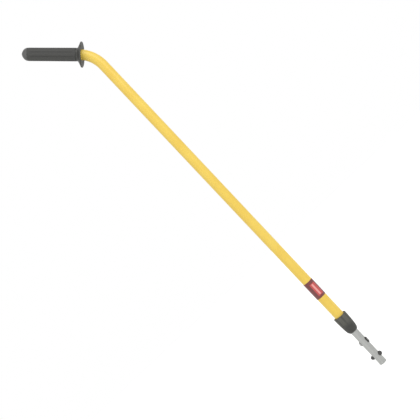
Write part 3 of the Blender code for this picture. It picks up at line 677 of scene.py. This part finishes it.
@dataclass
class TipSection:
    """The bare tube with its snap buttons, its key, its rivet and its end plug."""

    lines: PoleLines
    fitting_sides: int = 64
    turn: float = radians(25)
    tube_edge: float = 0.0003
    tip_length: float = 0.1037
    tip_step: float = 0.002
    button_radius: float = 0.0058
    button_height: float = 0.0232
    button_proud: dict[Side, float] = field(
        default_factory=lambda: {Side.RIGHT: 0.0060, Side.LEFT: 0.0078}
    )
    button_foot_radius: float = 0.0032
    button_steps: int = 18
    hole_gap: float = 0.0005
    clip_thickness: float = 0.0010
    clip_width: float = 0.0060
    clip_height: float = 0.0568
    clip_bow_radius: float = 0.0022
    key_height: float = 0.0678
    key_length: float = 0.0158
    key_width: float = 0.0085
    key_proud: float = 0.0020
    key_edge: float = 0.0009
    key_spare: float = 0.00072
    key_end_step: float = pi / 18
    rivet_shank_radius: float = 0.0020
    rivet_head_radius: float = 0.0070
    rivet_head_proud: float = 0.0033
    rivet_seat_depth: float = 0.0022
    rivet_steps: int = 14
    guide_pin_drop: float = 0.0120
    guide_pin_radius: float = 0.0015
    # Corners of the plug and its gate mark: share of its radius, height and rounding
    plug_corners: tuple[Triple, ...] = (
        (0, 0.0120, 0), (0.5, 0.0120, 0), (1, 0.0120, 0.0008), (1, 0, 0.0006),
        (0.30, 0, 0.0004), (0.22, 0.0005, 0.0003), (0.1, 0.0005, 0), (0, 0.0005, 0),
    )

    def fittings(self) -> Matrix:
        """The frame of the key and the buttons, turned about the pole so that its X leans to -Y."""
        return Matrix.Rotation(-self.turn, 4, "Z")

    def across(self, side: Side, height: float) -> Matrix:
        """A frame whose Z points out of the tube on one side of the fittings."""
        return self.fittings() @ along((side.value, 0, 0), (0, 0, height))

    def saddle(self) -> Piece:
        """A cutter that fits what sits on the tube beside the key to its round outside."""
        place, reach = Matrix.Translation((0, 0, self.key_height)), self.key_length
        return bar(self.lines.inner_radius + self.lines.gap, -reach, reach, place, SIDES)

    def build_tube(self) -> None:
        """The drawn tube, broken at its edges, with its holes for buttons, rivet and pin."""
        radius, bore, gap = self.lines.inner_radius, self.lines.inner_bore, self.lines.gap
        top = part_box("inner_tube")[1].z
        edge = self.tube_edge
        heights = span(top - edge, self.tip_length, LONG_STEP)
        heights += span(self.tip_length, edge, self.tip_step)[1:]
        outline = [(bore, top), (radius - edge, top)]
        outline += [(radius, height) for height in heights]
        outline += [(radius - edge, 0), (bore, 0)]
        outline += [(bore, height) for height in reversed(heights)]
        tube = lathe("tube_bare", outline)
        far = radius * CUT_END
        for side in Side:
            place = self.across(side, self.button_height)
            combine(tube, bar(self.button_radius + self.hole_gap, bore * CUT_START, far, place))
        through = self.across(Side.RIGHT, self.key_height)
        combine(tube, bar(self.rivet_shank_radius + gap, -far, far, through))
        place = along((0, 1, 0), (0, 0, top - self.guide_pin_drop))
        combine(tube, bar(self.guide_pin_radius + gap, -far, far, place))
        set_piece(tube, DRAWN_ALUMINIUM, "inner_section", "inner_tube")
        true_round(tube, radius)

    def build_end_plug(self) -> None:
        """The plug that closes the tube's lower end, dished where its mould gate was cut off."""
        radius = self.lines.inner_bore - self.lines.gap
        corners = [(radius * share, *rest) for share, *rest in self.plug_corners]
        plug = lathe("plug_tip", soften(corners, closed=False))
        set_piece(plug, TIP_POLYETHYLENE, "inner_section", "tip_end_plug")

    def build_key(self) -> None:
        """The oblong pad that saddles the tube, shaped like a slot, with a rounded edge."""
        radius, gap, edge = self.lines.inner_radius, self.lines.gap, self.key_edge
        top, half_width = radius + self.key_proud, self.key_width / 2
        levels = [(sqrt(radius**2 - half_width**2) - self.key_spare, 0)]
        for turn in span(0, pi / 2, ROUND_STEP):
            levels.append((top - edge * (1 - sin(turn)), edge * (1 - cos(turn))))
        straight = self.key_length / 2 - half_width
        rings = []
        for out, inset in levels:
            reach, ring = half_width - inset, []
            for end, first in ((1, 0.0), (-1, pi)):
                for angle in span(first, first + pi, self.key_end_step):
                    height = self.key_height + end * straight + reach * sin(angle)
                    ring.append(Vector((out, reach * cos(angle), height)))
            rings.append(ring)
        key = loft("key_oblong", rings, False, self.fittings())
        combine(key, self.saddle())
        hole = self.across(Side.RIGHT, self.key_height)
        depth = radius + self.rivet_seat_depth + gap
        combine(key, bar(self.rivet_shank_radius + gap, 0, depth, hole))
        set_piece(key, KEY_ACETAL, "inner_section", "key_pad")

    def build_rivet(self) -> None:
        """The low round head that saddles the tube, and its shank."""
        radius, gap, head_radius = self.lines.inner_radius, self.lines.gap, self.rivet_head_radius
        foot = sqrt(radius**2 - head_radius**2) - gap
        crown = dome(head_radius, radius + gap, self.rivet_head_proud - gap, self.rivet_steps)
        outline = [*crown, (head_radius, foot), (0, foot)]
        place = self.across(Side.LEFT, self.key_height)
        head = lathe("rivet_head", outline, place, self.fitting_sides)
        combine(head, self.saddle())
        start = -radius - self.rivet_head_proud / 2
        end = radius + self.rivet_seat_depth
        through = self.across(Side.RIGHT, self.key_height)
        combine(head, bar(self.rivet_shank_radius, start, end, through), Change.JOIN)
        set_piece(head, ZINC_STEEL, "inner_section", "key_rivet")

    def build_button(self, side: Side) -> None:
        """One arm of the spring clip with its domed button.

        Args:
            side: The side on which the button stands.
        """
        out, gap, thickness = side.value, self.lines.gap, self.clip_thickness
        radius, height, half_width = self.button_radius, self.button_height, self.clip_width / 2
        reach = sqrt(self.lines.inner_bore**2 - half_width**2) - gap - thickness / 2
        path = [
            Vector((out * self.clip_bow_radius, 0, self.clip_height - gap)),
            Vector((out * reach, 0, height + radius + thickness)),
            Vector((out * reach, 0, height - thickness / 2)),
        ]
        leg = (path[1] - path[0]).normalized()
        first = Vector((leg.z, 0, -leg.x))
        last = Vector((-1, 0, 0))
        middle = (first + last).normalized()
        wide = Vector((0, half_width, 0))
        rings = []
        for point, direction in zip(path, (first, middle / middle.dot(first), last)):
            near, far = point + direction * thickness / 2, point - direction * thickness / 2
            rings.append([near + wide, far + wide, far - wide, near - wide])
        name = side.name.lower()
        arm = loft(f"button_{name}", rings, False, self.fittings())
        waist = sqrt(self.lines.inner_radius**2 - radius**2)
        crown = dome(radius, self.lines.inner_radius, self.button_proud[side], self.button_steps)
        outline = [*crown, (radius, waist), (self.button_foot_radius, reach), (0, reach)]
        place = self.across(side, height)
        combine(arm, lathe("button", outline, place, self.fitting_sides), Change.JOIN)
        set_piece(arm, BUTTON_ACETAL, f"button_{name}", f"button_arm_{name}")

    def build(self) -> None:
        """Build and dress the whole section."""
        self.build_tube()
        self.build_end_plug()
        self.build_key()
        self.build_rivet()
        for side in Side:
            self.build_button(side)
        dress_nodes(BUTTON_ACETAL, "clip_bow")
        dress_nodes(NATURAL_NYLON, "backing_plug", "guide_bush")
        dress_nodes(ZINC_STEEL, "guide_pin")


@dataclass
class PaintedSection:
    """The bent painted tube with its label and its lower fittings."""

    lines: PoleLines
    sides: int = 80
    bend_steps: int = 36
    grip_step: float = 0.02
    tube_end: float = 0.1460
    pin_radius: float = 0.0016
    pin_sides: int = 32
    label_thickness: float = 0.00025
    label_edge: float = 0.0001
    label_edge_steps: int = 3

    def stations(self) -> list[tuple[Vector, float]]:
        """Where the tube's rings stand.

        Returns:
            Points along its axis, each with the angle that the tube has turned through.
        """
        angle, radius = self.lines.bend_angle, self.lines.bend_radius
        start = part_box("outer_tube")[0].z
        corner = self.lines.corner_height
        tangent = radius * tan(angle / 2)
        bend_start = corner - tangent
        centre = Vector((-radius, 0, bend_start))
        far = Vector((-sin(angle), 0, cos(angle)))
        made = [(Vector((0, 0, height)), 0.0) for height in span(start, bend_start, LONG_STEP)]
        for turn in span(0, angle, angle / self.bend_steps)[1:]:
            made.append((centre + Vector((cos(turn), 0, sin(turn))) * radius, turn))
        for way in span(tangent, self.tube_end, self.grip_step)[1:]:
            made.append((Vector((0, 0, corner)) + far * way, angle))
        return made

    def build_tube(self) -> None:
        """The painted tube, swept round its bend, with its pin holes."""
        lines, stations, rings = self.lines, self.stations(), []
        for radius, way in ((lines.outer_radius, stations), (lines.outer_bore, stations[::-1])):
            for centre, angle in way:
                turned = Matrix.Rotation(-angle, 3, "Y")
                ring = level_ring(radius, 0, self.sides)
                rings.append([centre + turned @ point for point in ring])
        tube = loft("tube_painted", rings, True)
        low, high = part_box("ferrule_pin_front")
        place = along((0, 1, 0), (0, 0, (low.z + high.z) / 2))
        far = lines.outer_radius * CUT_END
        combine(tube, bar(self.pin_radius + lines.gap, -far, far, place, self.pin_sides))
        set_piece(tube, POWDER_COAT, "outer_section", "outer_tube")

    def build_label(self) -> None:
        """The film wrapped round the tube, with thin softened edges."""
        low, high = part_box("label_band")
        bore = self.lines.outer_radius + self.lines.gap
        outer, edge = bore + self.label_thickness, self.label_edge
        corners = [(bore, high.z, 0), (outer, high.z, edge), (outer, low.z, edge), (bore, low.z, 0)]
        outline = soften(corners, closed=True, steps=self.label_edge_steps)
        band = lathe("film_label", outline)
        set_piece(band, VINYL_FILM, "outer_section", "label_band")

    def build(self) -> None:
        """Build and dress the whole section."""
        self.build_tube()
        self.build_label()
        dress_nodes(NATURAL_NYLON, "throat_bush", "tube_end_plug")
        dress_nodes(GLASS_NYLON, "collet_ferrule")
        steel = ("ferrule_pin_front", "ferrule_pin_back", "retaining_washer", "retaining_screw")
        dress_nodes(ZINC_STEEL, *steel)


@dataclass
class TwistCollar:
    """The fluted collar that squeezes the fingers, and the wiper in its nose."""

    lines: PoleLines
    flutes: Flutes = Flutes(count=8, depth=0.0011, power=1.5, rubbed_and_lit_depth=0.00143, sides_each=16)
    flute_start: float = 0.0170
    flute_fade: float = 0.0191
    start: float = 0.1037
    length: float = 0.0503
    nose_radius: float = 0.0110
    shoulder_radius: float = 0.01465
    rim_radius: float = 0.01765
    nose_length: float = 0.0070
    nose_crown: float = 0.62
    taper_power: float = 0.85
    rim_round: float = 0.0018
    mouth_flare: float = 0.0004
    mouth_depth: float = 0.0006
    lip: float = 0.0016
    wiper_height: float = 0.0030
    wiper_width: float = 0.0010
    finger_length: float = 0.0220
    finger_tip_wall: float = 0.0020
    ferrule_wall: float = 0.0010
    nose_step: float = 0.0007
    taper_step: float = 0.0015

    def land_radius(self, height: float) -> float:
        """The radius between the flutes: nose, taper and rim.

        Args:
            height: The level above the collar's nose.

        Returns:
            The radius.
        """
        if height < self.nose_length:
            share = height / self.nose_length
            rise = (1 - self.nose_crown) * share + self.nose_crown * sin(pi / 2 * share)
            radius = self.nose_radius + (self.shoulder_radius - self.nose_radius) * rise
        else:
            share = (height - self.nose_length) / (self.length - self.nose_length)
            rise = sin(pi / 2 * share) ** self.taper_power
            radius = self.shoulder_radius + (self.rim_radius - self.shoulder_radius) * rise
        return round_off(radius, self.rim_round, self.length - height)

    def build_shell(self) -> None:
        """The collar itself, hollow, with its clamping cone and its wiper pocket."""
        lines, gap, rim_round = self.lines, self.lines.gap, self.rim_round
        heights = span(0, self.nose_length, self.nose_step)
        heights += span(self.nose_length, self.length - rim_round, self.taper_step)[1:]
        turns = span(0, pi / 2, ROUND_STEP)[1:]
        heights += [self.length - rim_round * (1 - sin(turn)) for turn in turns]
        levels = []
        for height in heights:
            share = smooth_share((height - self.flute_start) / self.flute_fade)
            # The lands' paler coat grows in with the flutes, so the collar is painted paler towards
            # its rim: hand wear and painted highlight
            levels.append((self.land_radius(height), height, share, share))
        running = lines.inner_radius + gap
        pocket = running + self.wiper_width + gap
        cone_start = running + self.finger_tip_wall + gap
        bore = lines.outer_radius + gap + self.ferrule_wall + gap
        finger_start = self.lip + gap + self.wiper_height + gap
        inside = [
            (bore + self.mouth_flare, self.length),
            (bore, self.length - self.mouth_depth),
            (bore, finger_start + self.finger_length),
            (cone_start, finger_start),
            (pocket, finger_start - gap / 2),
            (pocket, self.lip),
            (running, self.lip),
            (running, 0),
        ]
        place = Matrix.Translation((0, 0, self.start))
        shell = self.flutes.shell("collar_fluted", levels, inside, place)
        set_piece(shell, BLACK_POLYPROPYLENE, "twist_collar", "lock_collar")

    def build(self) -> None:
        """Build and dress the collar."""
        self.build_shell()
        dress_nodes(WOOL_FELT, "wiper_ring")


@dataclass
class SwivelGrip:
    """The hand grip: its soft sleeve, the round guard, the end cap and the core inside."""

    lines: PoleLines
    flutes: Flutes = Flutes(count=9, depth=0.0006, power=1.0, rubbed_and_lit_depth=0.0006, sides_each=12)
    flute_fade: float = 0.0120
    body_start: float = 0.0411
    body_length: float = 0.1155
    radius: float = 0.0161
    taper: float = 0.0003
    edge: float = 0.0008
    edge_step: float = pi / 12
    fade_step: float = 0.0012
    body_step: float = 0.008
    core_wall: float = 0.0010
    core_spigot: float = 0.0050
    guard_distance: float = 0.0284
    guard_dish: float = 0.0051
    guard_radius: float = 0.0310
    guard_thickness: float = 0.0050
    guard_root_thickness: float = 0.0054
    guard_edge: float = 0.0020
    guard_bore_gap: float = 0.0011
    guard_neck_wall: float = 0.0016
    # At the hub's root, its bore's two corners, the neck's mouth and its foot
    guard_rounds: tuple[float, ...] = (0.0008, 0.0004, 0.0003, 0.0003, 0.0010)
    guard_sides: int = 112
    cap_length: float = 0.0155
    cap_point: float = 1.3
    cap_wall: float = 0.0026
    cap_step: float = 0.0004
    cap_spigot_wall: float = 0.0015
    cap_spigot_length: float = 0.0040
    cap_hollow_radius: float = 0.0045
    cap_dome_steps: int = 20

    def body_end(self) -> float:
        """Where the sleeve ends and the cap begins."""
        return self.body_start + self.body_length

    def core_radius(self) -> float:
        """The outside of the core."""
        return self.lines.outer_radius + self.lines.gap + self.core_wall

    def build_sleeve(self) -> None:
        """The soft cover: a slight taper with rounded ends, where the flutes fade out."""
        start, end = self.body_start + self.lines.gap, self.body_end()
        bore = self.core_radius() + self.lines.gap
        lead = [self.edge * (1 - cos(turn)) for turn in span(0, pi / 2, self.edge_step)]
        lead += span(self.edge, self.flute_fade, self.fade_step)[1:]
        heights = [start + step for step in lead]
        heights += span(start + self.flute_fade, end - self.flute_fade, self.body_step)[1:-1]
        heights += [end - step for step in reversed(lead)]
        levels = []
        for height in heights:
            from_end = min(height - self.body_start - self.lines.gap, end - height)
            tapered = self.radius - self.taper * (height - start) / (end - start)
            share = smooth_share(from_end / self.flute_fade)
            # The lands carry the whole paler coat all along: hand wear and painted highlight, with
            # painted shade in the flutes
            levels.append((round_off(tapered, self.edge, from_end), height, share, 1.0))
        inside = [(bore, end), (bore, start)]
        sleeve = self.flutes.shell("sleeve_fluted", levels, inside, self.lines.grip_place())
        set_piece(sleeve, SOFT_ELASTOMER, "swivel_grip", "grip_sleeve")

    def build_guard(self) -> None:
        """The round guard, dished towards the grip, with a rounded rim and a neck on the core."""
        hub, half_root = self.guard_distance + self.guard_dish, self.guard_root_thickness / 2
        near, edge, end = hub - self.guard_thickness / 2, self.guard_edge, self.body_start
        bore = self.lines.outer_radius + self.guard_bore_gap
        seat = self.core_radius() + self.lines.gap
        neck = seat + self.guard_neck_wall
        counterbore = end - self.core_spigot - self.lines.gap
        root_round, hub_round, bore_round, mouth_round, foot_round = self.guard_rounds
        outline = [
            (self.guard_radius - edge * (1 - sin(turn)), self.guard_distance + edge * cos(turn))
            for turn in span(0, pi, ROUND_STEP)
        ]
        corners = [
            (neck + edge, hub - half_root, root_round),
            (bore + edge / 2, near, hub_round),
            (bore, near + edge / 2, bore_round),
            (bore, counterbore, 0),
            (seat, counterbore, 0),
            (seat, end, 0),
            (neck, end, mouth_round),
            (neck, hub + half_root + edge, foot_round),
            (neck + edge, hub + half_root, root_round),
        ]
        outline += soften(corners, closed=False)
        guard = lathe("guard_round", outline, self.lines.grip_place(), self.guard_sides)
        set_piece(guard, GUARD_POLYPROPYLENE, "swivel_grip", "hand_guard")

    def build_cap(self) -> None:
        """The domed cap with a small witness step at its foot and a spigot in the core."""
        end, gap, step = self.body_end(), self.lines.gap, self.cap_step
        foot, top = end + gap, end + self.cap_length
        radius = self.radius - self.taper - gap
        spigot, start = self.lines.outer_radius, end - self.cap_spigot_length
        bore, roof = spigot - self.cap_spigot_wall, top - self.cap_wall
        outline = [
            *dome(radius, foot + step, top - foot - step, self.cap_dome_steps, self.cap_point),
            (radius - step, foot),
            (spigot, foot),
            (spigot, start),
            (bore, start),
            (bore, foot),
            (self.cap_hollow_radius, roof),
            (0, roof),
        ]
        cap = lathe("cap_domed", outline, self.lines.grip_place())
        set_piece(cap, GREY_POLYPROPYLENE, "swivel_grip", "end_cap")

    def build(self) -> None:
        """Build and dress the grip."""
        self.build_sleeve()
        self.build_guard()
        self.build_cap()
        dress_nodes(CORE_POLYPROPYLENE, "grip_core")


# Studio


@dataclass(frozen=True)
class Lamp:
    """A large square lamp, its power in watts and its place from the middle of the picture."""

    name: str
    power: float
    size: float
    offset: Triple


@dataclass
class Studio:
    """A pale floor, a white surround, soft lamps and the camera."""

    target: Triple = (-0.0523, 0.0, 0.5510)
    distance: float = 1.84
    frame_width: float = 1.008
    sensor: float = 36.0
    roll: float = radians(43.3)
    floor_size: float = 8.0
    floor_drop: float = 0.0004
    floor_colour: str = "F2F2F1"
    floor_roughness: float = 0.9
    floor_lift: float = 0.5
    surround: float = 0.70
    lamps: tuple[Lamp, ...] = (
        Lamp("key_lamp", power=30.0, size=2.2, offset=(1.35, -2.0, 1.75)),
        Lamp("fill_lamp", power=10.0, size=2.4, offset=(-1.9, -1.5, 1.1)),
    )

    def white_share(self, tree: Tree) -> Socket:
        """What the camera, a reflection or a see-through surface looks at directly.

        Args:
            tree: The node tree.

        Returns:
            1 for such a ray and 0 for any other.
        """
        path = add_node(tree, "ShaderNodeLightPath").outputs
        share = path["Is Camera Ray"]
        settings = {"operation": "ADD", "use_clamp": True}
        for name in ("Is Glossy Ray", "Is Transmission Ray"):
            share = add_node(tree, "ShaderNodeMath", settings, {0: share, 1: path[name]}).outputs[0]
        return share

    def build_surround(self) -> None:
        """A world that shows as white and lights the object as plain grey."""
        world = bpy.data.worlds.new("surround")
        world.use_nodes = True
        tree = world.node_tree
        tree.nodes.clear()
        links = {0: self.white_share(tree)}
        for i, strength in enumerate((self.surround, 1.0), start=1):
            settings = {"Color": WHITE, "Strength": strength}
            links[i] = add_node(tree, "ShaderNodeBackground", settings).outputs[0]
        mixed = add_node(tree, "ShaderNodeMixShader", links=links)
        add_node(tree, "ShaderNodeOutputWorld", links={"Surface": mixed.outputs[0]})
        bpy.context.scene.world = world

    def build_floor(self) -> None:
        """A matt floor under the tip that lifts to white and still takes the pole's shadow."""
        shape = bmesh.new()
        bmesh.ops.create_grid(shape, x_segments=1, y_segments=1, size=self.floor_size / 2)
        floor = new_object("floor", shape, Matrix.Translation((0, 0, -self.floor_drop)))
        paint = bpy.data.materials.new("floor_paper")
        paint.use_nodes = True
        tree = paint.node_tree
        inputs = tree.nodes["Principled BSDF"].inputs
        inputs["Base Color"].default_value = linear(self.floor_colour)
        inputs["Roughness"].default_value = self.floor_roughness
        inputs["Emission Color"].default_value = WHITE
        settings = {"operation": "MULTIPLY", 1: self.floor_lift}
        lift = add_node(tree, "ShaderNodeMath", settings, {0: self.white_share(tree)})
        tree.links.new(lift.outputs[0], inputs["Emission Strength"])
        floor.data.materials.append(paint)

    def build_lamps(self) -> None:
        """Hang the lamps so that they face the pole's middle."""
        for lamp in self.lamps:
            light = bpy.data.lights.new(lamp.name, "AREA")
            light.energy = lamp.power
            light.size = lamp.size
            piece = bpy.data.objects.new(lamp.name, light)
            offset = Vector(lamp.offset)
            piece.location = Vector(self.target) + offset
            piece.rotation_euler = (-offset).to_track_quat("-Z", "Y").to_euler()
            bpy.context.scene.collection.objects.link(piece)

    def build_camera(self) -> None:
        """The camera, square to the pole's plane and rolled as the photograph is."""
        camera = bpy.data.cameras.new("camera")
        camera.sensor_width = self.sensor
        camera.lens = self.sensor * self.distance / self.frame_width
        piece = bpy.data.objects.new("camera", camera)
        back = Vector((0, -1, 0))
        right = Vector((cos(self.roll), 0, -sin(self.roll)))
        up = Vector((sin(self.roll), 0, cos(self.roll)))
        turned = Matrix((right, up, back)).transposed().to_4x4()
        place = Matrix.Translation(Vector(self.target) + back * self.distance)
        piece.matrix_world = place @ turned
        bpy.context.scene.collection.objects.link(piece)
        bpy.context.scene.camera = piece

    def build(self) -> None:
        """Set up the whole studio."""
        self.build_surround()
        self.build_floor()
        self.build_lamps()
        self.build_camera()
        bpy.context.scene.view_settings.view_transform = "Standard"


def main() -> None:
    """Set up the studio and build each sub-assembly in order."""
    logging.basicConfig(level=logging.INFO, format="%(name)s %(message)s")
    lines = PoleLines()
    Studio().build()
    for assembly in (TipSection, PaintedSection, TwistCollar, SwivelGrip):
        assembly(lines).build()
        log.info("%s is dressed", assembly.__name__)


if __name__ == "__main__":
    main()
